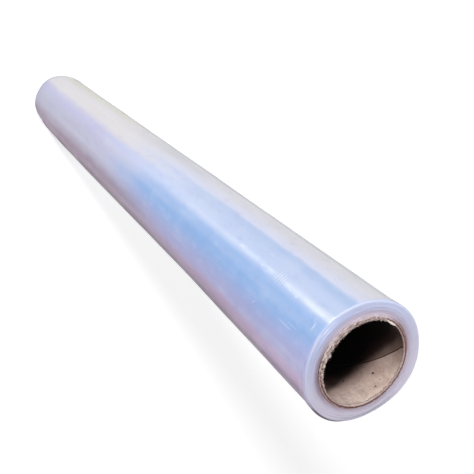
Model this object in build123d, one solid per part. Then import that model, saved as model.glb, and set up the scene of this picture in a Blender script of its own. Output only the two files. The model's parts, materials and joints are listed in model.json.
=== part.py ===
from build123d import *
from math import pi, sqrt
import os

# A roll of clear book cover film, wound on a spiral cardboard core that is open at both ends.
# It stands on one end. The origin is the centre of that end and +Z runs up the roll's axis.

# Driving dimensions of the film, in millimetres
film_width = 500.0          # length of the roll, end face to end face
film_length = 10000.0       # what is wound on the core, in about 67 turns
film_thickness = 0.09       # one turn, and so the step at the film's free edge
trapped_air = 0.0015        # left between one turn and the next
free_edge_turn = -14.0      # degrees from +X where the film's free edge lies, along the roll
edge_round = 1.1            # outer corner of each end, where the turns lie back
end_spread = 0.3            # how far the outer turns stand out at each end
spread_length = 9.0         # stretch of the roll over which they stand out
mouth_break = 0.5           # corner of the turns where they leave the core
bundle_pitch = 0.88         # turns cling together in bundles of this thickness
bundle_gap = 0.16           # open line between two bundles, on the end faces
bundle_gap_depth = 0.5

# Driving dimensions of the core
core_bore = 38.1            # inside diameter, a 1.5 inch core
core_wall = 1.55            # three plies of board
core_proud = 0.2            # how far the core stands out of the film at the upper end
cut_break = 0.25            # corners left by the knife that cut the tube
seam_lead = 118.0           # rise of the inner ply's seam in one turn
seam_gap = 0.45             # open width of that seam
seam_depth = 0.3
seam_turn_at_top = 145.0    # degrees from +X where the seam meets the upper end

# Sizes that follow from them
core_radius = core_bore / 2 + core_wall
film_section = film_length * (film_thickness + trapped_air)
roll_radius = sqrt(core_radius ** 2 + film_section / pi)
core_length = film_width + core_proud
seam_overrun = 2 * seam_gap  # the seam's cutter runs this far past each end


def film_profile(radius):
    """Half section of the wound film, from the axis out to the given radius, on the XZ plane."""
    end_radius = radius + end_spread
    corner_start = end_radius - edge_round
    lower_bend = (radius, spread_length)
    upper_bend = (radius, film_width - spread_length)
    upper_corner = (end_radius, film_width - edge_round)
    along_axis = ((0, 1), (0, 1))
    with BuildSketch(Plane.XZ) as section:
        with BuildLine():
            Line((0, 0), (corner_start, 0))
            TangentArc((corner_start, 0), (end_radius, edge_round), tangent=(1, 0))
            Spline((end_radius, edge_round), lower_bend, tangents=along_axis)
            Line(lower_bend, upper_bend)
            Spline(upper_bend, upper_corner, tangents=along_axis)
            TangentArc(upper_corner, (corner_start, film_width), tangent=(0, 1))
            Polyline((corner_start, film_width), (0, film_width), (0, 0))
        make_face()
    return section.sketch


def wound_body():
    """Two half turns about centres half a film apart, which leaves a step at the free edge."""
    first_half = revolve(film_profile(roll_radius - film_thickness), Axis.Z, 180)
    last_axis = Axis((film_thickness / 2, 0, 0), (0, 0, 1))
    last_profile = Pos(film_thickness / 2, 0, 0) * film_profile(roll_radius - film_thickness / 2)
    last_half = revolve(last_profile, last_axis, -180)
    return Rot(0, 0, free_edge_turn) * (first_half + last_half)


def core_space():
    """What the core takes out of the film, a little wider at both mouths."""
    mouth_radius = core_radius + mouth_break
    with BuildSketch(Plane.XZ) as section:
        with BuildLine():
            Polyline(
                (0, 0),
                (mouth_radius, 0),
                (core_radius, mouth_break),
                (core_radius, film_width - mouth_break),
                (mouth_radius, film_width),
                (0, film_width),
                (0, 0),
            )
        make_face()
    return revolve(section.sketch, Axis.Z)


def half_turn_gap(centre_x, radius, start_angle):
    """Half a turn of the open line between two bundles, as deep as the line is."""
    inner = CenterArc((centre_x, 0), radius - bundle_gap / 2, start_angle, 180)
    outer = CenterArc((centre_x, 0), radius + bundle_gap / 2, start_angle, 180)
    outline = make_face([inner, Line(inner @ 0, outer @ 0), outer, Line(inner @ 1, outer @ 1)])
    return extrude(outline, amount=bundle_gap_depth)


def turn_gaps():
    """The line between bundles winds outwards: half circles about two centres, each one wider."""
    first_radius = core_radius + mouth_break + bundle_pitch / 2
    last_radius = roll_radius - film_thickness - edge_round
    half_pitch = bundle_pitch / 2
    half_turns = int((last_radius - first_radius) / half_pitch)
    gaps = []
    for count in range(half_turns):
        side = 1 if count % 2 else -1
        gaps.append(half_turn_gap(side * half_pitch / 2, first_radius + count * half_pitch, 90 + side * 90))
    return gaps


def film_roll():
    roll = wound_body() - core_space()
    for gap in turn_gaps():
        roll -= gap
        roll -= Pos(0, 0, film_width - bundle_gap_depth) * gap
    return roll


def ply_seam():
    """Cutter along the bore for the butt joint of the inner ply, a right-handed helix."""
    height = core_length + 2 * seam_overrun
    path = Helix(pitch=seam_lead, height=height, radius=core_bore / 2)
    mouth = Plane(origin=path @ 0, x_dir=(0, 0, 1), z_dir=path % 0)
    cutter = sweep(mouth * Rectangle(seam_gap, 2 * seam_depth), path, is_frenet=True)
    turn_at_bottom = seam_turn_at_top - 360 * (core_length + seam_overrun) / seam_lead
    return Pos(0, 0, -seam_overrun) * Rot(0, 0, turn_at_bottom) * cutter


def cardboard_core():
    tube = Cylinder(core_radius, core_length, align=(Align.CENTER, Align.CENTER, Align.MIN))
    tube -= Cylinder(core_bore / 2, core_length, align=(Align.CENTER, Align.CENTER, Align.MIN))
    tube = chamfer(tube.edges().filter_by(GeomType.CIRCLE), cut_break)
    return tube - ply_seam()


os.makedirs("parts", exist_ok=True)
export_step(film_roll(), "parts/film_roll.step")
export_step(cardboard_core(), "parts/cardboard_core.step")
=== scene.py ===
import json
import math
import random

import bmesh
import bpy
from mathutils import Matrix, Vector, noise


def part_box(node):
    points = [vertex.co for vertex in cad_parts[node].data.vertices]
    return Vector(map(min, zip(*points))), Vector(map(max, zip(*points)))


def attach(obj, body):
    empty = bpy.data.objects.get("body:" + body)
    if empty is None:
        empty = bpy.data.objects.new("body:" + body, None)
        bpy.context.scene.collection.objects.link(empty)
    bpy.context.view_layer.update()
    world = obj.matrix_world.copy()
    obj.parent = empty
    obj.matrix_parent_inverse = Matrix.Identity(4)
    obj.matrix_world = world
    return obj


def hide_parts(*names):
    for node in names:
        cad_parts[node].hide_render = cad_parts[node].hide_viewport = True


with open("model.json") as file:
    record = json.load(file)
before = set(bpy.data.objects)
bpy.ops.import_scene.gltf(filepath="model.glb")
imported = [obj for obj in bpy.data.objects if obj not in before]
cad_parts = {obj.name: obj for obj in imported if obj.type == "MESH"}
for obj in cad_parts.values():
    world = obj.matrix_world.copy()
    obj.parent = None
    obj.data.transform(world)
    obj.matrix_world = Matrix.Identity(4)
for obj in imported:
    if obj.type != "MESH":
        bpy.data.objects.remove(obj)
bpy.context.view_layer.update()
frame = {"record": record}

# A roll of clear film on a cardboard core, standing on one end, seen from above its upper end.
# Everything is in metres. Angles round the roll are in degrees from +X, and the camera stands at -90.

mm = 0.001


def sizesFromFrame():
    # the sizes that the solids and the mount give
    filmLow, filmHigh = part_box("film_roll")
    coreLow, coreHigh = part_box("cardboard_core")
    mounts = {mount["name"]: mount for mount in frame["record"]["mounts"]}
    return {
        "filmTop": filmHigh.z,
        "endRadius": (filmHigh.x - filmLow.x) / 2,
        "coreTop": coreHigh.z,
        "coreRadius": (coreHigh.x - coreLow.x) / 2,
        "boreRadius": mounts["core_bore"]["dims"]["r_mm"] * mm,
    }


sizes = sizesFromFrame()


def smoothStep(low, high, value):
    share = min(max((value - low) / (high - low), 0.0), 1.0)
    return share * share * (3 - 2 * share)


def hump(value, centre, width):
    # 1 at the centre and nothing past the width
    return 1 - smoothStep(0.0, width, abs(value - centre))


def turnBetween(angle, centre):
    # signed degrees from centre to angle, the short way round
    return (angle - centre + 180) % 360 - 180


def alongStops(value, stops):
    # straight runs between (place, value) stops that are in order
    for (low, start), (high, end) in zip(stops, stops[1:]):
        if value <= high:
            return start + (end - start) * max(value - low, 0) / (high - low)
    return stops[-1][1]


def polar(point):
    return math.hypot(point.x, point.y), math.degrees(math.atan2(point.y, point.x))


def atAngle(radius, angle, height):
    turn = math.radians(angle)
    return Vector((radius * math.cos(turn), radius * math.sin(turn), height))


def wander(radius, angle, height, scale):
    # smooth noise, scale is in waves to a metre
    return noise.noise(atAngle(radius, angle, height) * scale)


def pieceFrom(mesh, name, material):
    # a finished bmesh becomes a piece that rides on the roll
    data = bpy.data.meshes.new(name)
    mesh.to_mesh(data)
    mesh.free()
    data.materials.append(material)
    piece = bpy.data.objects.new(name, data)
    bpy.context.scene.collection.objects.link(piece)
    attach(piece, "root")
    return piece


def spinLoop(points, steps, merge):
    # spins a closed outline of (radius, height) once round the axis
    mesh = bmesh.new()
    ring = [mesh.verts.new((radius, 0, height)) for radius, height in points]
    edges = [mesh.edges.new(pair) for pair in zip(ring, ring[1:] + ring[:1])]
    bmesh.ops.spin(
        mesh, geom=ring + edges, cent=(0, 0, 0), axis=(0, 0, 1),
        angle=math.tau, steps=steps, use_merge=merge,
    )
    return mesh


def settle(mesh):
    # doubles merged, normals out, smooth shading
    bmesh.ops.remove_doubles(mesh, verts=mesh.verts, dist=2e-7)
    bmesh.ops.recalc_face_normals(mesh, faces=mesh.faces)
    for face in mesh.faces:
        face.smooth = True


def ringDepths(start, zones):
    # depths from the start on, as far apart as each zone says, up to where it ends
    depths = [start]
    for end, spacing in zones:
        first = depths[-1]
        steps = max(round((end - first) / spacing), 1)
        depths += [first + (end - first) * step / steps for step in range(1, steps + 1)]
    return depths


class Sock:
    # a node socket with arithmetic: each operator adds one Math node
    def __init__(self, shader, link):
        self.shader = shader
        self.link = link

    def maths(self, operation, *values):
        return self.shader.node("ShaderNodeMath", {"operation": operation}, *values)

    def __add__(self, other):
        return self.maths("ADD", self, other)

    def __sub__(self, other):
        return self.maths("SUBTRACT", self, other)

    def __rsub__(self, other):
        return self.maths("SUBTRACT", other, self)

    def __mul__(self, other):
        return self.maths("MULTIPLY", self, other)

    def __truediv__(self, other):
        return self.maths("DIVIDE", self, other)

    def __pow__(self, other):
        return self.maths("POWER", self, other)

    def absolute(self):
        return self.maths("ABSOLUTE", self)

    def fraction(self):
        return self.maths("FRACT", self)

    def smallest(self, other):
        return self.maths("MINIMUM", self, other)

    def largest(self, other):
        return self.maths("MAXIMUM", self, other)

    def ramp(self, low, high, start=0.0, end=1.0):
        # maps low..high to start..end, smooth and held at both ends
        settings = {"interpolation_type": "SMOOTHSTEP", "clamp": True}
        return self.shader.node("ShaderNodeMapRange", settings, self, low, high, start, end)

    def awayFrom(self, angle):
        # of an angle that is a share of a turn: how far it lies from the given degrees, either way
        return ((self + (0.5 - angle / 360)).fraction() - 0.5).absolute()


class Shader:
    # one procedural material: node() takes a type, its settings, then its socket values or links
    def __init__(self, name):
        self.material = bpy.data.materials.new(name)
        self.material.use_nodes = True
        self.tree = self.material.node_tree
        self.tree.nodes.clear()
        self.output = self.tree.nodes.new("ShaderNodeOutputMaterial")

    def put(self, socket, value):
        if isinstance(value, Sock):
            self.tree.links.new(value.link, socket)
        elif value is not None:
            socket.default_value = value

    def node(self, kind, settings, *values, out=0, **named):
        made = self.tree.nodes.new(kind)
        for key, value in settings.items():
            if key == "stops":
                self.setStops(made.color_ramp, value)
            else:
                setattr(made, key, value)
        for socket, value in zip(made.inputs, values):
            self.put(socket, value)
        for key, value in named.items():
            self.put(made.inputs[key.replace("_", " ")], value)
        return Sock(self, made.outputs[out])

    def setStops(self, colorRamp, stops):
        while len(colorRamp.elements) < len(stops):
            colorRamp.elements.new(0.5)
        for element, (place, colour) in zip(colorRamp.elements, stops):
            element.position = place
            element.color = linear(colour)

    def place(self):
        return self.node("ShaderNodeTexCoord", {}, out=3)

    def split(self, vector):
        made = self.node("ShaderNodeSeparateXYZ", {}, vector)
        return [Sock(self, output) for output in made.link.node.outputs]

    def join(self, x, y, z):
        return self.node("ShaderNodeCombineXYZ", {}, x, y, z)

    def turnShare(self, x, y):
        # the angle round the roll as a share of a whole turn, from -0.5 to 0.5
        return self.node("ShaderNodeMath", {"operation": "ARCTAN2"}, y, x) / math.tau

    def cloud(self, vector, scale, detail=3.0, roughness=0.5):
        settings = {"noise_dimensions": "3D"}
        return self.node("ShaderNodeTexNoise", settings, Vector=vector, Scale=scale,
                         Detail=detail, Roughness=roughness)

    def mix(self, share, first, second):
        settings = {"data_type": "RGBA", "clamp_factor": True}
        made = self.node("ShaderNodeMix", settings, out=2)
        inputs = made.link.node.inputs
        self.put(inputs[0], share)
        self.put(inputs[6], first)
        self.put(inputs[7], second)
        return made

    def paint(self, share, under, colour):
        # a display colour laid over what is there
        return self.mix(share, under, linear(colour))

    def relief(self, height, distance, strength, under=None):
        return self.node("ShaderNodeBump", {}, Strength=strength, Distance=distance,
                         Height=height, Normal=under)

    def finish(self, **sockets):
        surface = self.node("ShaderNodeBsdfPrincipled", {})
        for key, value in sockets.items():
            self.put(surface.link.node.inputs[key.replace("_", " ")], value)
        self.tree.links.new(surface.link, self.output.inputs["Surface"])
        return self.material


def linear(colour):
    # a colour as 0..255 display values, turned to the shader's linear ones
    shares = [channel / 255 for channel in colour]
    return tuple(c / 12.92 if c <= 0.04045 else ((c + 0.055) / 1.055) ** 2.4 for c in shares) + (1.0,)


# the wound film

film = {
    "around": 360,                # steps round the roll
    "ringZones": [                # rings up the wall: depth below the upper end, spacing
        (12 * mm, 0.4 * mm), (34 * mm, 1.4 * mm), (50 * mm, 0.6 * mm),
        (120 * mm, 4 * mm), (499 * mm, 8 * mm),
    ],
    "endSpread": 0.3 * mm,        # how far the ends stand out past the middle
    "spreadLength": 9 * mm,
    "edgeRound": 0.8 * mm,
    "cornerSteps": 6,
    "mouthBreak": 0.5 * mm,
    "mouthDrop": 0.08 * mm,       # the small step down where the break of the mouth begins
    "turnPitch": 0.16 * mm,       # two turns of film cling together as one fine ring
    "turnDepth": 0.05 * mm,
    "turnStray": 0.16 * mm,       # how far single turns stand proud of the others
    "lowerPitchTurns": 5,         # the lower end, on the floor, has coarser rings
    "freeEdge": -14,              # degrees where the film ends, along the roll
    "fineMargin": (1, 2.0),       # how far round a crease the mesh is finer, in degrees and mm
    "looseFrom": 3 * mm,          # out of the core, where the turns begin to follow the wall's waves
    "looseTo": 1 * mm,            # in from the wall, where they follow them fully
    "footing": 20 * mm,           # the waves die away towards the floor over this height
    "slack": 0.5 * mm,            # slow waves of the outer turns
    "slackSide": -7,
    "slackWaves": [               # their height on that side, by depth in mm
        (0, 1.35), (3, 1.0), (4.5, 0.55), (8, 1.0), (16, 1.0), (40, 0.4), (69, 0.0), (140, -0.95),
        (190, -0.5), (242, 0.0), (312, 0.95), (400, 1.0), (470, 0.3), (500, 0.0),
    ],
    # faint waves all round: stretch along the roll, waves to a metre, share
    "slackFine": [(0.6, 30.0, 0.3), (2, 45.0, 0.1)],
    # how far the outer turns' edges lie below the end, in mm, by angle
    "drop": [
        (-180, 0.0), (-122, 0.1), (-108, 0.5), (-98, 0.9), (-86, 0.8), (-74, 0.2), (-60, -0.1), (-40, 0.0),
        (-12, -0.1), (12, 0.0), (22, 0.3), (32, 0.8), (60, 0.9), (74, 0.5), (90, -0.1), (112, -0.5),
        (128, -0.3), (145, 0.0), (180, 0.0),
    ],
    "dropReach": 3.2 * mm,        # how far in from the wall that dies away
    "dropFull": 0.6 * mm,
    "dropDepth": 12 * mm,         # and how far down the wall
    "dents": [                    # the lower end is squeezed out of round
        {"turn": -14, "wide": 44, "deep": 1.9 * mm, "long": 24 * mm},
        {"turn": -112, "wide": 40, "deep": -0.8 * mm, "long": 20 * mm},
    ],
}

# creases and dimples of the outer turn: angle, depth below the end, half lengths in degrees and mm,
# height, and how the crease slopes and bends
creases = [
    dict(zip(("turn", "depth", "wide", "long", "rise", "slope", "bend"), row)) for row in (
        (-86, 5.6, 8, 1.1, 0.085, 0.0, 0.016),
        (-90, 7.4, 6, 1.1, 0.05, -0.1, 0.0),
        (-70.5, 21, 1.8, 12, 0.06, 0.0, 0.0),
        (-74, 17, 1.3, 8, 0.06, 0.0, 0.0),
        (-99.7, 78.6, 4.0, 3.4, 0.07, 0.5, 0.0),
        (-104, 84, 3.0, 2.6, -0.1, 0.4, 0.0),
        (-97.2, 56.7, 2.6, 2.2, 0.07, 0.3, 0.0),
        (-96.5, 53, 2.2, 1.4, -0.1, 0.3, 0.0),
        (-96.1, 31, 2.4, 1.4, 0.08, 0.3, 0.0),
        (-94.8, 25.2, 2.0, 1.3, 0.1, 0.2, 0.0),
        (-98.5, 3.4, 2.6, 1.2, 0.1, 0.2, 0.0),
        (-112, 58, 4.0, 1.4, 0.06, 0.2, 0.0),
        (-66, 47, 5.0, 1.2, 0.06, 0.4, 0.02),
        (-84, 96, 4.0, 2.4, 0.04, 0.5, 0.0),
    )
]

# a patch of ripples across the gloss streak, "fade" shapes how they die away at its edge
ripples = {
    "turn": -98, "depth": 41, "wide": 10, "long": 6.5, "rise": 0.11, "slope": -0.03, "bend": -0.006,
    "pitch": 1.7, "fade": 0.7,
}


def wallHeights():
    # rings lie closer together towards the upper end, where the film is creased
    depths = ringDepths(film["edgeRound"], film["ringZones"])
    return [sizes["filmTop"] - depth for depth in reversed(depths)]


def turnRings(pitch, depth):
    # lands and grooves of the turns' edges, from the outermost inwards, two rings to a pitch
    innermost = sizes["coreRadius"] + film["mouthBreak"]
    outermost = sizes["endRadius"] - film["edgeRound"]
    count = int((outermost - innermost) / pitch) - 1
    return [(outermost - pitch * ring / 2, depth * (ring % 2)) for ring in range(2 * count + 1)]


def filmOutline():
    # closed outline of the wound film: up the outer wall, over the turns' edges and down the core
    bodyRadius = sizes["endRadius"] - film["endSpread"]
    top, inner = sizes["filmTop"], sizes["coreRadius"]
    corner, mouth = film["edgeRound"], film["mouthBreak"]
    outermost = sizes["endRadius"] - corner
    points = []
    for height in wallHeights():
        fromEnd = min(height, top - height)
        spread = 1 - smoothStep(corner, film["spreadLength"], fromEnd)
        points.append((bodyRadius + film["endSpread"] * spread, height))
    bends = [math.pi / 2 * step / film["cornerSteps"] for step in range(1, film["cornerSteps"])]
    points += [(outermost + corner * math.cos(b), top - corner + corner * math.sin(b)) for b in bends]
    fine = turnRings(film["turnPitch"], film["turnDepth"])
    coarse = turnRings(film["turnPitch"] * film["lowerPitchTurns"], film["turnDepth"] * 2)
    points += [(radius, top - depth) for radius, depth in fine]
    points += [
        (inner + mouth * 0.6, top), (inner + mouth * 0.5, top - film["mouthDrop"]),
        (inner, top - mouth * 3), (inner, mouth),
    ]
    points += [(radius, depth) for radius, depth in reversed(coarse)]
    points += [(outermost + corner * math.cos(b), corner - corner * math.sin(b)) for b in reversed(bends)]
    return points


def slackAt(angle, height):
    # slow waves on the side of the free edge, and faint ones all round
    depth = (sizes["filmTop"] - height) / mm
    side = 0.5 + 0.5 * math.cos(math.radians(turnBetween(angle, film["slackSide"])))
    fine = sum(
        wander(0.03, angle, height * stretch, scale) * share for stretch, scale, share in film["slackFine"]
    )
    return film["slack"] * (side ** 3 * alongStops(depth, film["slackWaves"]) + fine)


def overMark(angle, depth, mark):
    # where a point lies by a crease: degrees beside its middle, and mm below its sloping line
    aside = turnBetween(angle, mark["turn"])
    return aside, depth - mark["depth"] - mark["slope"] * aside - mark["bend"] * aside * aside


def creaseAt(angle, height):
    depth = (sizes["filmTop"] - height) / mm
    total = 0.0
    for crease in creases:
        aside, below = overMark(angle, depth, crease)
        total += crease["rise"] * hump(aside, 0, crease["wide"]) * hump(below, 0, crease["long"])
    aside, below = overMark(angle, depth, ripples)
    if abs(below) < ripples["long"] and abs(aside) < ripples["wide"]:
        wave = math.sin(below / ripples["pitch"] * math.tau)
        for span, limit in ((aside, ripples["wide"]), (below, ripples["long"])):
            wave *= hump(span, 0, limit) ** ripples["fade"]
        total += ripples["rise"] * wave
    return total * mm


def nearCrease(point):
    # whether a point of the wall lies where the mesh has to be finer
    radius, angle = polar(point)
    depth = (sizes["filmTop"] - point.z) / mm
    if radius < sizes["endRadius"] - film["edgeRound"] or depth < film["edgeRound"] / mm:
        return False
    beside, below = film["fineMargin"]
    return any(
        abs(turnBetween(angle, mark["turn"])) < mark["wide"] + beside
        and abs(depth - mark["depth"]) < mark["long"] + below for mark in creases + [ripples]
    )


def windTurns(mesh, loop):
    # the turns wind outwards: a whole turn from the free edge, each ring lies on the next one out
    for count, vert in enumerate(mesh.verts):
        radius, angle = polar(vert.co)
        if radius > sizes["coreRadius"] + film["mouthBreak"] / 2:
            radius += film["turnPitch"] * ((count // loop) / film["around"] - 1)
        vert.co = atAngle(radius, angle + film["freeEdge"], vert.co.z)


def closeFreeEdge(mesh, loop):
    # the step at the free edge, between the first and the last outline of the spin
    upperCorner = len(wallHeights()) + film["cornerSteps"]
    lowerCorner = loop - film["cornerSteps"]
    ends = {
        vert for count, vert in enumerate(mesh.verts)
        if not upperCorner <= count % loop < lowerCorner and not loop <= count < loop * film["around"]
    }
    sides = [edge for edge in mesh.edges if edge.is_boundary and ends.issuperset(edge.verts)]
    step = bmesh.ops.bridge_loops(mesh, edges=sides)["faces"]
    settle(mesh)
    for face in step:
        face.smooth = False
        for edge in face.edges:
            edge.smooth = False
    rest = [edge for edge in mesh.edges if edge.is_boundary]
    bmesh.ops.holes_fill(mesh, edges=rest, sides=0)
    bmesh.ops.recalc_face_normals(mesh, faces=mesh.faces)


def strayAt(radius, angle, share):
    # how far a turn's edge stands out of the upper end, less towards the wall
    turn = math.radians(angle)
    spot = Vector((radius / film["turnPitch"] * 0.55, math.cos(turn) * 1.6, math.sin(turn) * 1.6))
    stray = noise.noise(spot) + 0.5 * noise.noise(spot * 0.23)
    return film["turnStray"] * (stray - 0.35) * (1 - 0.65 * share)


def pressFilm(mesh, creased):
    # the turns' uneven edges, the outer turns' drop, the slack, the creases and the dents
    outermost = sizes["endRadius"] - film["edgeRound"]
    innermost = sizes["coreRadius"] + film["mouthBreak"] / 2
    for vert in mesh.verts:
        radius, angle = polar(vert.co)
        height = vert.co.z
        depth = sizes["filmTop"] - height
        share = smoothStep(
            sizes["coreRadius"] + film["looseFrom"], sizes["endRadius"] - film["looseTo"], radius,
        )
        if depth < film["edgeRound"] / 2 and innermost < radius < outermost:
            height += strayAt(radius, angle, share)
        if depth < film["dropDepth"]:
            outer = smoothStep(
                sizes["endRadius"] - film["dropReach"], sizes["endRadius"] - film["dropFull"], radius,
            )
            near = 1 - smoothStep(film["edgeRound"], film["dropDepth"], depth)
            height -= alongStops(angle, film["drop"]) * mm * outer * near
        if share > 0:
            fade = smoothStep(0, film["footing"], vert.co.z)
            crease = creaseAt(angle, vert.co.z)
            vert[creased] = crease / mm
            radius += share * (fade * slackAt(angle, vert.co.z) + crease)
            for dent in film["dents"]:
                nearEnd = 1 - smoothStep(0, dent["long"], vert.co.z)
                across = hump(turnBetween(angle, dent["turn"]), 0, dent["wide"])
                radius -= share * dent["deep"] * nearEnd * across
        vert.co = atAngle(radius, angle, height)


def makeFilm(material):
    outline = filmOutline()
    mesh = spinLoop(outline, film["around"], merge=False)
    creased = mesh.verts.layers.float.new("crease")
    windTurns(mesh, len(outline))
    closeFreeEdge(mesh, len(outline))
    close = [edge for edge in mesh.edges if all(nearCrease(vert.co) for vert in edge.verts)]
    bmesh.ops.subdivide_edges(mesh, edges=close, cuts=2, use_grid_fill=True)
    pressFilm(mesh, creased)
    piece = pieceFrom(mesh, "wound_film", material)
    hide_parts("film_roll")


# bands round the roll, each over the ones before it: partly the film's own bluish and lilac tint,
# partly painted reflection and painted shade. Each runs from one angle to another, soft at both, strong
# near the upper end or far from it. "change" is the stretch of depth, in metres, over which near turns
# into far, and over "until" the band dies away
tintsAndPaintedLight = [
    dict(turns=(-144, -60), soft=(18, 20), colour=(214, 219, 243), near=0.8, far=0, change=(0.18, 0.27)),
    dict(turns=(-127, 150), soft=(6, 40), colour=(191, 206, 237), near=1, far=0, change=(0.12, 0.27)),
    dict(turns=(-127, -110), soft=(6, 11), colour=(170, 193, 230), near=1, far=0, change=(0.01, 0.17)),
    dict(
        turns=(-109, -88), soft=(9, 10), colour=(188, 203, 238), near=0, far=0.85, change=(0.13, 0.18),
        until=(0.25, 0.34),
    ),
    dict(turns=(-98, -74), soft=(12, 20), colour=(142, 178, 228), near=1, far=0, change=(0.15, 0.31)),
    dict(turns=(-92, 120), soft=(16, 30), colour=(138, 174, 224), near=1, far=0, change=(0.2, 0.33)),
    dict(turns=(-77, 100), soft=(28, 40), colour=(168, 170, 214), near=1, far=0, change=(0.17, 0.34)),
    dict(turns=(-50, 10), soft=(14, 20), colour=(204, 178, 210), near=0.9, far=0, change=(0.08, 0.24)),
    dict(turns=(-114, 60), soft=(16, 60), colour=(190, 190, 222), near=0, far=1, change=(0.18, 0.32)),
    dict(turns=(-98, 60), soft=(26, 50), colour=(180, 179, 202), near=0, far=0.9, change=(0.2, 0.35)),
    # this band and the next: mauve on the side away from the light, partly the film's tint, partly painted
    # shade
    dict(turns=(-70, 14), soft=(34, 26), colour=(138, 110, 132), near=0, far=1, change=(0.13, 0.26)),
    dict(turns=(-50, 14), soft=(18, 26), colour=(162, 138, 166), near=0, far=0.75, change=(0.02, 0.08)),
    dict(turns=(-176, -132), soft=(8, 22), colour=(216, 215, 196), near=0, far=0.9, change=(0.25, 0.36)),
    # painted shade: a grey-blue band on the right side, part way down
    dict(
        turns=(-172, -128), soft=(8, 16), colour=(176, 182, 188), near=0, far=0.35, change=(0.15, 0.22),
        until=(0.22, 0.3),
    ),
    # painted shade: a dark band along the left edge, by the free edge
    dict(turns=(-34, -2), soft=(10, 12), colour=(94, 62, 84), near=0.62, far=0.85, change=(0.2, 0.3)),
    # painted shade: a grey band along the right edge
    dict(turns=(-200, -154), soft=(10, 8), colour=(168, 170, 174), near=0.8, far=0.85, change=(0.2, 0.3)),
    dict(turns=(-82, -34), soft=(16, 12), colour=(216, 206, 238), near=0.2, far=0, change=(0.0, 0.05)),
    # a painted highlight: the pale gloss streak near the upper end
    dict(turns=(-104, -93), soft=(4, 3), colour=(246, 249, 247), near=0.3, far=0, change=(0.005, 0.07)),
]

# the end faces: tones from the core (0) out to the wall (1): brown near the mouth, where the core shows
# through the film and painted shade lies, and a painted highlight along the outer corner at 0.9 to 0.95
endStops = [
    (0.0, (172, 150, 152)), (0.06, (178, 160, 168)), (0.2, (178, 167, 186)), (0.36, (187, 185, 212)),
    (0.6, (199, 205, 236)), (0.8, (198, 206, 237)), (0.9, (214, 223, 250)), (0.95, (214, 222, 248)),
    (1.0, (196, 204, 236)),
]

# and patches over them, painted light and painted shade that lighten or darken the end face by its angle
# to the light: "reach" is how far from the angle, in turns, a patch has ended and is full, "out" is where
# on the way outwards it is nothing and full, and over "until" it dies away again
endPaintedLight = [
    dict(turn=60, reach=(0.4, 0.16), out=(0.1, 0.4), share=0.75, colour=(204, 194, 206)),
    dict(turn=-42, reach=(0.13, 0.03), out=(0.42, 0.05), share=0.75, colour=(112, 90, 110)),
    dict(turn=-128, reach=(0.17, 0.068), out=(0.4, 0.1), share=0.85, colour=(208, 196, 214)),
    dict(turn=110, reach=(0.12, 0.048), out=(0.4, 0.1), share=0.45, colour=(208, 196, 214)),
    dict(
        turn=-80, reach=(0.15, 0.05), out=(0.3, 0.6), share=0.5, colour=(172, 182, 220),
        until=(0.85, 0.8),
    ),
    dict(turn=-66, reach=(0.11, 0.04), out=(0.93, 1.0), share=0.8, colour=(166, 171, 212)),
    dict(turn=-22, reach=(0.11, 0.05), out=(0.9, 0.98), share=0.8, colour=(186, 176, 206)),
]


def wallTintsAndPaintedLight(shader, turn, depth, drift, mottle):
    # the bands of tint, painted reflection and painted shade, their borders wavering with the clouds
    deep = depth + (drift - 0.5) * 0.09
    wobble = (drift - 0.5) * 0.03 + (mottle - 0.5) * 0.012
    colour = shader.mix(deep.ramp(0.17, 0.3), linear((219, 218, 227)), linear((223, 220, 223)))
    for band in tintsAndPaintedLight:
        start, end = (bound / 360 for bound in band["turns"])
        past = (turn + wobble - start).fraction()
        width = end - start
        share = past.ramp(0.0, band["soft"][0] / 360) * past.ramp(width, width - band["soft"][1] / 360)
        strength = deep.ramp(*band["change"], band["near"], band["far"])
        if "until" in band:
            strength = strength * deep.ramp(*band["until"], 1.0, 0.0)
        colour = shader.paint(share * strength, colour, band["colour"])
    return colour


def endTones(shader, x, y, turn, radius, outward):
    tones = shader.node("ShaderNodeValToRGB", {"stops": endStops}, outward)
    for patch in endPaintedLight:
        share = turn.awayFrom(patch["turn"]).ramp(*patch["reach"]) * outward.ramp(*patch["out"])
        if "until" in patch:
            share = share * outward.ramp(*patch["until"])
        tones = shader.paint(share * patch["share"], tones, patch["colour"])
    # the edges of the turns as fine lines
    rings = shader.cloud(shader.join(radius * 9.0, x * 0.2, y * 0.2), 900.0)
    tones = shader.paint(rings.ramp(0.45, 0.8) * 0.4, tones, (228, 230, 252))
    return shader.paint(rings.ramp(0.48, 0.2) * 0.35, tones, (160, 154, 186))


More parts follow.
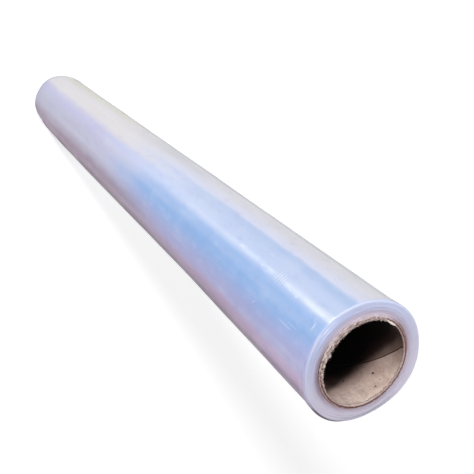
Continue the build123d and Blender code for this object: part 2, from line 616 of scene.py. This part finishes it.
def filmMaterial():
    shader = Shader("clear wound film")
    place = shader.place()
    x, y, z = shader.split(place)
    turn = shader.turnShare(x, y)
    depth = sizes["filmTop"] - z
    drift = shader.cloud(shader.join(x, y, z * 0.6), 20.0, detail=4.0)
    mottle = shader.cloud(place, 60.0, detail=4.0)
    colour = wallTintsAndPaintedLight(shader, turn, depth, drift, mottle)
    # faint streaks along the roll, and mottling where the turns cling unevenly
    streaks = shader.cloud(shader.join(x, y, z * 0.06), 160.0, detail=4.0)
    lighter = (streaks * 0.6 + mottle * 0.4).ramp(0.45, 0.7)
    colour = shader.paint(lighter * 0.16, colour, (240, 243, 252))
    # painted highlight on the creases' ridges and painted shade in their hollows
    crease = shader.node("ShaderNodeAttribute", {"attribute_name": "crease"}, out=2)
    colour = shader.paint(crease.ramp(0.01, 0.12) * 0.6, colour, (238, 246, 255))
    colour = shader.paint(crease.ramp(-0.01, -0.1) * 0.35, colour, (150, 168, 212))
    wrinkle = shader.cloud(shader.join(x, y, z * 0.6), 260.0, detail=5.0, roughness=0.6)
    # painted highlight where the wrinkle noise is high and painted shade where it is low, the same noise
    # that bumps the wall
    colour = shader.paint(wrinkle.ramp(0.52, 0.72) * 0.08, colour, (236, 242, 253))
    colour = shader.paint(wrinkle.ramp(0.48, 0.3) * 0.12, colour, (140, 146, 190))
    wisps = shader.cloud(shader.join(x, y, z * 1.6), 380.0, detail=2.0)
    colour = shader.paint(wisps.ramp(0.66, 0.8) * 0.06, colour, (232, 242, 255))
    # the lower end is a little darker at its corner
    colour = shader.paint(z.ramp(6 * mm, 0) * 0.75, colour, (146, 142, 154))
    radius = (x * x + y * y) ** 0.5
    outward = (radius - sizes["coreRadius"]) / (sizes["endRadius"] - sizes["coreRadius"])
    fromEnd = z.smallest(depth)
    ends = endTones(shader, x, y, turn, radius, outward)
    colour = shader.mix(fromEnd.ramp(1.3 * mm, 0.6 * mm), colour, ends)
    # the outermost turn's edge is in its own shade near the free edge
    shade = turn.awayFrom(8).ramp(0.09, 0.03) * outward.ramp(0.87, 0.97) * fromEnd.ramp(16 * mm, 4 * mm)
    colour = shader.paint(shade * 0.85, colour, (84, 62, 76))
    # the wall is glossier than the ends, in flecks, and less so further down the roll and along the
    # side that lies lowest in the light, where the turns are scuffed
    gloss = fromEnd.ramp(0.6 * mm, 1.4 * mm, 0.08, 0.3) * wrinkle.ramp(0.4, 0.6, 0.65, 1.25)
    gloss = gloss * turn.awayFrom(-18).ramp(0.05, 0.1, 0.15, 1.0) * depth.ramp(60 * mm, 140 * mm, 1.0, 0.75)
    grain = shader.cloud(place, 1400.0, detail=2.0)
    normal = shader.relief(grain, 0.004 * mm, 0.6, shader.relief(wrinkle, 0.24 * mm, 0.6))
    return shader.finish(
        Base_Color=colour, Roughness=mottle.ramp(0.3, 0.7, 0.3, 0.42), IOR=1.4,
        Specular_IOR_Level=0.1, Coat_Weight=gloss, Coat_Roughness=0.13, Normal=normal,
    )


# the cardboard core

core = {
    "around": 400,
    "gather": 0.7,                # how much closer the columns stand at the seam
    "seamLead": 118 * mm,         # rise of the inner ply's seam in one turn
    "seamTop": 145,               # degrees where the seam meets the upper end
    "seamHalf": 0.4 * mm,
    "seamDepth": 0.5 * mm,
    "plyLift": 0.15 * mm,         # one side of the seam stands a little proud
    "ringZones": [(26 * mm, 0.7 * mm), (60 * mm, 1.4 * mm), (499.9 * mm, 7 * mm)],
    "cutBreak": 0.25 * mm,
    "topBreak": (0.3 * mm, 0.2 * mm),                   # across and down, under the rim
    "rough": [(0.05 * mm, 700.0), (0.12 * mm, 90.0)],   # height and waves to a metre
}

# the cut end is a ring of its own, torn by the knife
rim = {
    "around": 720,
    "play": 0.08 * mm,            # between the rim and the film
    "thick": 0.9 * mm,
    "topSteps": 9,
    "lipSteps": 12,
    "lipUnderSteps": 4,
    "lipSpan": 1 * mm,            # the lip is laid out this long and then drawn to its reach
    "lipThick": 0.35 * mm,
    "lipLeast": 0.04 * mm,
    "droop": 0.25 * mm,
    "ragged": 0.5 * mm,
    "rough": 0.22 * mm,
    "chipped": 0.12 * mm,
    # the knife pressed the outer ply against the film on the torn side
    "flare": 0.55 * mm,
    "flareTurn": -128,
    "flareReach": 62,
    # how far in the torn inner ply reaches, in mm from the axis
    "reach": [
        (-180, 18.9), (-150, 18.3), (-122, 17.9), (-100, 17.5), (-88, 17.4), (-72, 17.6),
        (-67, 16.9), (-63, 17.6), (-58, 18.2), (-45, 18.5), (-36, 18.7), (-15, 18.95), (180, 18.95),
    ],
}

# a strip of the inner ply that has come away at the mouth and curls up
flap = {
    "from": -180,
    "to": -158,
    "wide": 1.1 * mm,
    "rise": 0.55 * mm,
    "thick": 0.12 * mm,
    "root": 0.35 * mm,            # how far out of the bore it is still held
    "seat": 0.05 * mm,            # and how far above the cut end
    "rough": 0.08 * mm,
}

fibres = {
    "count": 260,
    "thick": 0.045 * mm,
    "turns": (-158, 40, -95),     # from, to and where most are
    "lengths": (0.3, 0.9),        # in mm
    "stray": 55,                  # degrees to either side of the way inwards
    "slant": (-0.35, 0.5),
    "bend": 0.5,
}


def seamTurnAt(height):
    return core["seamTop"] + 360 * (height - sizes["coreTop"]) / core["seamLead"]


def coreOutline():
    # up the outside, over the bevelled top, down the bore and back under the lower end
    outer, bore, cut = sizes["coreRadius"], sizes["boreRadius"], core["cutBreak"]
    across, down = core["topBreak"]
    top = sizes["coreTop"] - cut
    points = [(outer, cut), (outer, top - down), (outer - across, top), (bore + across, top)]
    depths = ringDepths(0.0, core["ringZones"])[:-1]
    points += [(bore, top - down - depth) for depth in depths if top - down - depth > 1 * mm]
    return points + [(bore, cut), (bore + cut, 0), (outer - cut, 0)]


def makeCore(material):
    bore, half = sizes["boreRadius"], core["seamHalf"]
    mesh = spinLoop(coreOutline(), core["around"], merge=True)
    settle(mesh)
    for vert in mesh.verts:
        radius, angle = polar(vert.co)
        # columns crowd at the seam and climb with it
        aside = angle - core["gather"] * math.degrees(math.sin(math.radians(angle)))
        height = vert.co.z
        if radius < bore + 0.1 * mm:
            across = math.radians(aside) * bore
            radius += core["seamDepth"] * hump(across, 0, half)
            radius -= core["plyLift"] * hump(across, half * 2, half * 2)
            for rise, scale in core["rough"]:
                radius += rise * wander(bore, aside, height, scale)
        vert.co = atAngle(radius, aside + seamTurnAt(height), height)
    piece = pieceFrom(mesh, "core_tube", material)
    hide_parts("cardboard_core")


def rimOutline():
    # rough plies on top and a torn fringe of the inner ply that reaches inwards
    edge, bore = sizes["coreRadius"] - rim["play"], sizes["boreRadius"]
    top = sizes["coreTop"]
    under = top - rim["thick"]
    shoulder = edge - 0.1 * mm
    span, lower = rim["lipSpan"], rim["lipUnderSteps"]
    points = [(edge, under), (edge, top - 0.15 * mm)]
    points += [
        (shoulder + (bore - shoulder) * step / rim["topSteps"], top) for step in range(rim["topSteps"] + 1)
    ]
    points += [(bore - span * step / rim["lipSteps"], top) for step in range(1, rim["lipSteps"] + 1)]
    points += [(bore - span * step / lower, top - rim["lipThick"]) for step in range(lower, -1, -1)]
    points.append((bore + 0.15 * mm, under))
    return points


def lipLength(angle):
    # how far the fringe reaches in, ragged where it is torn
    bore = sizes["boreRadius"]
    reach = alongStops(angle, rim["reach"]) * mm
    ragged = 0.8 * wander(0.019, angle, 0.0, 800.0) + 0.8 * wander(0.019, angle, 0.0, 2600.0)
    torn = 1 if reach < bore - 0.2 * mm else 0.3
    return max(bore - reach + rim["ragged"] * ragged * torn, rim["lipLeast"])


def makeRim(material):
    bore, top = sizes["boreRadius"], sizes["coreTop"]
    under = top - rim["thick"]
    wall = sizes["coreRadius"] - rim["play"] - 0.3 * mm
    mesh = spinLoop(rimOutline(), rim["around"], merge=True)
    settle(mesh)
    for vert in mesh.verts:
        radius, angle = polar(vert.co)
        height = vert.co.z
        inward = (bore - radius) / rim["lipSpan"]
        rough = wander(radius, angle, 0.0, 1500.0) + 0.8 * wander(radius, angle, 0.01, 3200.0)
        chip = wander(radius * 0.4, angle, 0.02, 2300.0)
        if inward > -0.02:
            radius = bore - lipLength(angle) * max(inward, 0)
            height -= rim["droop"] * inward * inward * (1 - 0.8 * chip)
        if height > under + 0.1 * mm:
            height += rim["rough"] * rough + rim["chipped"] * chip
            flared = hump(turnBetween(angle, rim["flareTurn"]), 0, rim["flareReach"]) ** 0.5
            radius += rim["flare"] * flared * (radius > wall)
        vert.co = atAngle(radius, angle, min(height, top + 0.2 * mm))
    pieceFrom(mesh, "core_rim", material)


def makeFlap(material):
    mesh = bmesh.new()
    bmesh.ops.create_grid(mesh, x_segments=16, y_segments=6, size=0.5)
    for vert in mesh.verts:
        along, across = vert.co.x + 0.5, vert.co.y + 0.5
        angle = flap["from"] + (flap["to"] - flap["from"]) * along
        reach = flap["wide"] * math.sin(math.pi * min(along * 1.15 + 0.05, 1.0)) ** 0.6
        curl = across * across
        radius = sizes["boreRadius"] + flap["root"] - reach * (across - 0.25 * curl)
        lift = flap["rise"] * curl * math.sin(math.pi * along)
        lift += flap["rough"] * wander(radius, angle, 0.0, 1500.0)
        vert.co = atAngle(radius, angle, sizes["coreTop"] + flap["seat"] + lift)
    bmesh.ops.recalc_face_normals(mesh, faces=mesh.faces)
    bmesh.ops.solidify(mesh, geom=mesh.faces[:], thickness=flap["thick"])
    settle(mesh)
    pieceFrom(mesh, "ply_flap", material)


def makeFibres(material):
    # loose fibres along the torn edge, each of two cones with a bend between them
    mesh = bmesh.new()
    thick, bend = fibres["thick"], fibres["bend"]
    for _ in range(fibres["count"]):
        angle = random.triangular(*fibres["turns"])
        length = random.uniform(*fibres["lengths"]) * mm
        root = alongStops(angle, rim["reach"]) * mm + 0.25 * mm
        start = atAngle(root, angle, sizes["coreTop"] - 0.1 * mm)
        stray = random.uniform(-fibres["stray"], fibres["stray"])
        inward = atAngle(-1, angle + stray, random.uniform(*fibres["slant"])).normalized()
        for wide, narrow in ((thick, thick * 0.5), (thick * 0.5, thick * 0.1)):
            made = bmesh.ops.create_cone(
                mesh, cap_ends=True, segments=4, depth=length / 2, radius1=wide, radius2=narrow,
            )
            turn = Vector((0, 0, 1)).rotation_difference(inward).to_matrix()
            bmesh.ops.rotate(mesh, verts=made["verts"], cent=(0, 0, 0), matrix=turn)
            bmesh.ops.translate(mesh, verts=made["verts"], vec=start + inward * length / 4)
            start = start + inward * length / 2
            aside = Vector((random.uniform(-bend, bend), random.uniform(-bend, bend), 0.3))
            inward = (inward + aside).normalized()
    settle(mesh)
    pieceFrom(mesh, "torn_fibres", material)


# specks in the bore's board: angle, depth in mm, size in mm
specks = [
    (87.3, 10.3, 0.55), (77.1, 4.4, 0.4), (52.8, 16.3, 0.4), (34.2, 7.6, 0.3), (87.8, 5.2, 0.22),
    (77.7, 14.8, 0.25),
]


def boardMaterial():
    shader = Shader("grey brown core board")
    place = shader.place()
    x, y, z = shader.split(place)
    turn = shader.turnShare(x, y)
    depth = sizes["coreTop"] - z
    grain = shader.cloud(place, 700.0, detail=5.0, roughness=0.65)
    blotch = shader.cloud(place, 120.0)
    flecks = shader.cloud(place, 1500.0, detail=2.0)
    colour = shader.mix(grain.ramp(0.3, 0.7), linear((228, 202, 191)), linear((252, 231, 220)))
    colour = shader.paint(blotch.ramp(0.42, 0.7) * 0.5, colour, (190, 154, 140))
    colour = shader.paint(flecks.ramp(0.62, 0.72) * 0.4, colour, (140, 112, 102))
    # painted shade: the board darkens from the cut end further into the bore
    colour = shader.paint(depth.ramp(2 * mm, 18 * mm) * 0.72, colour, (124, 88, 79))
    # painted shade: darker and browner away from the side that faces the light
    fromLit = turn.awayFrom(55)
    colour = shader.paint(fromLit.ramp(35 / 360, 110 / 360) * 0.85, colour, (78, 50, 44))
    # painted shade: the board is darker above the seam
    seamShare = turn + depth / core["seamLead"] - core["seamTop"] / 360
    colour = shader.paint(seamShare.fraction().ramp(0.32, -0.08) * 0.8, colour, (92, 68, 60))
    # deep in the bore it is dark, sooner on the side that faces away
    shadowed = depth + fromLit.ramp(0.13, 0.3) * (13 * mm)
    colour = shader.paint(shadowed.ramp(9 * mm, 24 * mm) * 0.985, colour, (14, 8, 8))
    # painted shade in the open seam
    fromSeam = seamShare.awayFrom(0) * (math.tau * sizes["boreRadius"])
    ragged = shader.cloud(place, 1800.0, detail=2.0) * (0.3 * mm)
    colour = shader.paint((fromSeam + ragged).ramp(0.5 * mm, 0.25 * mm) * 0.9, colour, (18, 10, 9))
    warp = shader.cloud(place, 2600.0, detail=1.0) * (0.35 * mm)
    for angle, below, size in specks:
        spot = atAngle(sizes["boreRadius"], angle, sizes["coreTop"] - below * mm)
        away = shader.node("ShaderNodeVectorMath", {"operation": "DISTANCE"}, place, tuple(spot), out=1)
        mark = (away + warp - 0.17 * mm).ramp(size * 1.3 * mm, size * 0.7 * mm)
        colour = shader.paint(mark * 0.9, colour, (44, 28, 24))
    relief = shader.relief(grain, 0.12 * mm, 0.5)
    return shader.finish(Base_Color=colour, Roughness=0.9, Specular_IOR_Level=0.25, Normal=relief)


# the plies as lines on the cut end, from the bore (0) out to the film (1); the dark brown middle is partly
# the board's own ply and partly painted shade
plyStops = [
    (0.0, (222, 204, 196)), (0.32, (208, 184, 178)), (0.47, (124, 86, 80)), (0.6, (84, 50, 48)),
    (0.78, (88, 54, 54)), (0.9, (132, 98, 102)), (1.0, (168, 138, 144)),
]


def rimMaterial():
    # chopped plies: cream fibres, brown gaps between the plies
    shader = Shader("torn board edge")
    place = shader.place()
    x, y, z = shader.split(place)
    radius = (x * x + y * y) ** 0.5
    turn = shader.turnShare(x, y)
    chips = shader.cloud(shader.join(turn * 0.04, radius * 1.5, z), 1900.0, detail=5.0, roughness=0.7)
    pits = shader.cloud(place, 2300.0, roughness=0.6)
    colour = shader.mix(chips.ramp(0.42, 0.62), linear((126, 94, 90)), linear((246, 234, 226)))
    colour = shader.paint(pits.ramp(0.56, 0.66) * 0.6, colour, (84, 56, 54))
    # away from the torn side the plies show as lines: cream inside, brown that is partly painted shade,
    # and a pale outer one, and where the tube was cut askew the middle ply shows nearer the bore
    board = sizes["coreRadius"] - sizes["boreRadius"]
    across = (radius - sizes["boreRadius"]) / board + (chips - 0.5) * 0.4
    askew = turn.awayFrom(82).ramp(0.1, 0.22, 0.0, 0.27)
    plies = shader.node("ShaderNodeValToRGB", {"stops": plyStops}, across + askew)
    colour = shader.mix(turn.awayFrom(-100).ramp(0.13, 0.2) * 0.85, colour, plies)
    # on the torn side the outer ply is pale, with fine lines round the rim
    torn = turn.awayFrom(-125).ramp(0.18, 0.08)
    colour = shader.paint(torn * across.ramp(0.25, 0.8) * 0.8, colour, (228, 214, 226))
    edges = shader.cloud(shader.join(radius * 9.0, x * 0.3, y * 0.3), 700.0)
    colour = shader.paint(torn * edges.ramp(0.48, 0.36) * 0.55, colour, (140, 110, 116))
    # painted shade: the rim is darker on the side away from the light
    colour = shader.paint(turn.awayFrom(115).ramp(0.19, 0.08) * 0.4, colour, (140, 104, 100))
    relief = shader.relief(chips, 0.25 * mm, 0.8)
    return shader.finish(Base_Color=colour, Roughness=0.95, Specular_IOR_Level=0.2, Normal=relief)


def paperMaterial():
    # the pale inside of a ply
    shader = Shader("torn pale ply")
    fuzz = shader.cloud(shader.place(), 2600.0, detail=4.0)
    colour = shader.mix(fuzz.ramp(0.35, 0.65), linear((214, 200, 192)), linear((255, 250, 246)))
    relief = shader.relief(fuzz, 0.15 * mm, 0.6)
    return shader.finish(Base_Color=colour, Roughness=0.9, Specular_IOR_Level=0.2, Normal=relief)


# the floor, the camera and the lights

view = {
    "place": (0.0, -0.2188, 0.2029),    # from the centre of the upper end face
    "forward": (-0.017, 0.5541, -0.8323),
    "roll": 129.2,                      # degrees, anticlockwise seen from behind the camera
    "focalShare": 742 / 474,            # focal length over picture width
}

light = {
    "keyToward": (-0.2486, -0.867, 0.432),
    "keyDistance": 3.0,
    "keySize": 0.36,
    "keyPower": 59.0,
    "topPower": 34.0,             # a second lamp straight above, for the end face
    "topSize": 0.5,
    "worldStrength": 0.3,
    # long strips close to the floor that only the film's gloss shows, pointing away from the roll
    "stripTurn": -107.1,
    "stripHeight": 0.012,
    "strips": [
        {"from": 0.31, "to": 0.66, "wide": 0.055, "power": 0.42},
        {"from": 0.12, "to": 0.31, "wide": 0.036, "power": 0.02},
    ],
    # a lamp low on the side that the key leaves dark, below the upper end and unseen in the gloss
    "sideTurn": -22,
    "sideDistance": 1.6,
    "sideSize": 0.8,
    "sidePower": 4.0,
}

# the floor glows a little for what sees it straight or mirrored, and doesn't light the roll with that
ground = {"radius": 6.0, "colour": (226, 226, 228), "glow": 0.49}


def makeCamera():
    data = bpy.data.cameras.new("photo camera")
    data.sensor_width = 36.0
    data.lens = view["focalShare"] * data.sensor_width
    data.clip_start = 0.005
    camera = bpy.data.objects.new("photo camera", data)
    bpy.context.scene.collection.objects.link(camera)
    forward = Vector(view["forward"]).normalized()
    aim = forward.to_track_quat("-Z", "Y").to_matrix()
    turn = Matrix.Rotation(math.radians(view["roll"]), 3, "Z")
    spot = Vector(view["place"]) + Vector((0, 0, sizes["filmTop"]))
    camera.matrix_world = Matrix.Translation(spot) @ (aim @ turn).to_4x4()
    bpy.context.scene.camera = camera


def addLamp(name, shape, size, power):
    data = bpy.data.lights.new(name, "AREA")
    data.shape = shape
    data.size = size[0]
    if len(size) > 1:
        data.size_y = size[1]
    data.energy = power
    lamp = bpy.data.objects.new(name, data)
    bpy.context.scene.collection.objects.link(lamp)
    lamp.rotation_mode = "QUATERNION"
    return lamp


def makeWorld():
    # white for what sees it straight, and a weak light otherwise
    world = bpy.data.worlds.new("soft light")
    world.use_nodes = True
    tree = world.node_tree
    tree.nodes.clear()
    rays = tree.nodes.new("ShaderNodeLightPath")
    background = tree.nodes.new("ShaderNodeBackground")
    strength = tree.nodes.new("ShaderNodeMapRange")
    output = tree.nodes.new("ShaderNodeOutputWorld")
    seen = rays.outputs["Is Camera Ray"]
    for name in ("Is Glossy Ray", "Is Transmission Ray"):
        either = tree.nodes.new("ShaderNodeMath")
        either.operation = "MAXIMUM"
        tree.links.new(seen, either.inputs[0])
        tree.links.new(rays.outputs[name], either.inputs[1])
        seen = either.outputs[0]
    strength.inputs["To Min"].default_value = light["worldStrength"]
    strength.inputs["To Max"].default_value = 1.0
    tree.links.new(seen, strength.inputs["Value"])
    tree.links.new(strength.outputs["Result"], background.inputs["Strength"])
    tree.links.new(background.outputs["Background"], output.inputs["Surface"])
    bpy.context.scene.world = world


def makeLights():
    key = addLamp("key", "DISK", (light["keySize"],), light["keyPower"])
    toward = Vector(light["keyToward"]).normalized()
    key.location = Vector((0, 0, sizes["filmTop"])) + toward * light["keyDistance"]
    key.rotation_quaternion = (-toward).to_track_quat("-Z", "Y")
    above = addLamp("above", "DISK", (light["topSize"],), light["topPower"])
    above.location = (0, 0, sizes["filmTop"] + light["keyDistance"])
    stripTurn = Matrix.Rotation(math.radians(light["stripTurn"]), 3, "Z")
    upward = stripTurn @ Matrix.Rotation(math.pi, 3, "X")
    for strip in light["strips"]:
        lamp = addLamp("strip", "RECTANGLE", (strip["to"] - strip["from"], strip["wide"]), strip["power"])
        lamp.location = atAngle((strip["from"] + strip["to"]) / 2, light["stripTurn"], light["stripHeight"])
        lamp.rotation_quaternion = upward.to_quaternion()
        lamp.visible_camera = False
        lamp.visible_diffuse = False
    side = addLamp("side", "DISK", (light["sideSize"],), light["sidePower"])
    side.location = atAngle(light["sideDistance"], light["sideTurn"], sizes["filmTop"] / 2)
    side.rotation_quaternion = atAngle(-1, light["sideTurn"], 0).to_track_quat("-Z", "Y")
    side.visible_camera = False
    side.visible_glossy = False


def makeFloor():
    mesh = bmesh.new()
    bmesh.ops.create_circle(mesh, cap_ends=True, segments=96, radius=ground["radius"])
    data = bpy.data.meshes.new("floor")
    mesh.to_mesh(data)
    mesh.free()
    shader = Shader("pale floor")
    rays = shader.node("ShaderNodeLightPath", {})
    seen = rays.link.node.outputs
    shown = Sock(shader, seen["Is Camera Ray"]).largest(Sock(shader, seen["Is Glossy Ray"]))
    shown = shown.largest(Sock(shader, seen["Is Transmission Ray"]))
    matt = shader.node("ShaderNodeBsdfDiffuse", {}, linear(ground["colour"]))
    glow = shader.node("ShaderNodeEmission", {}, (1, 1, 1, 1), shown * ground["glow"])
    both = shader.node("ShaderNodeAddShader", {}, matt, glow)
    shader.tree.links.new(both.link, shader.output.inputs["Surface"])
    data.materials.append(shader.material)
    floor = bpy.data.objects.new("floor", data)
    bpy.context.scene.collection.objects.link(floor)


random.seed(11)
makeCamera()
makeLights()
makeWorld()
makeFloor()
print("stage ready")
makeFilm(filmMaterial())
print("film wound")
makeCore(boardMaterial())
tornBoard = rimMaterial()
makeRim(tornBoard)
makeFlap(paperMaterial())
makeFibres(tornBoard)
print("core in place")

bpy.context.scene.view_settings.view_transform = "Standard"
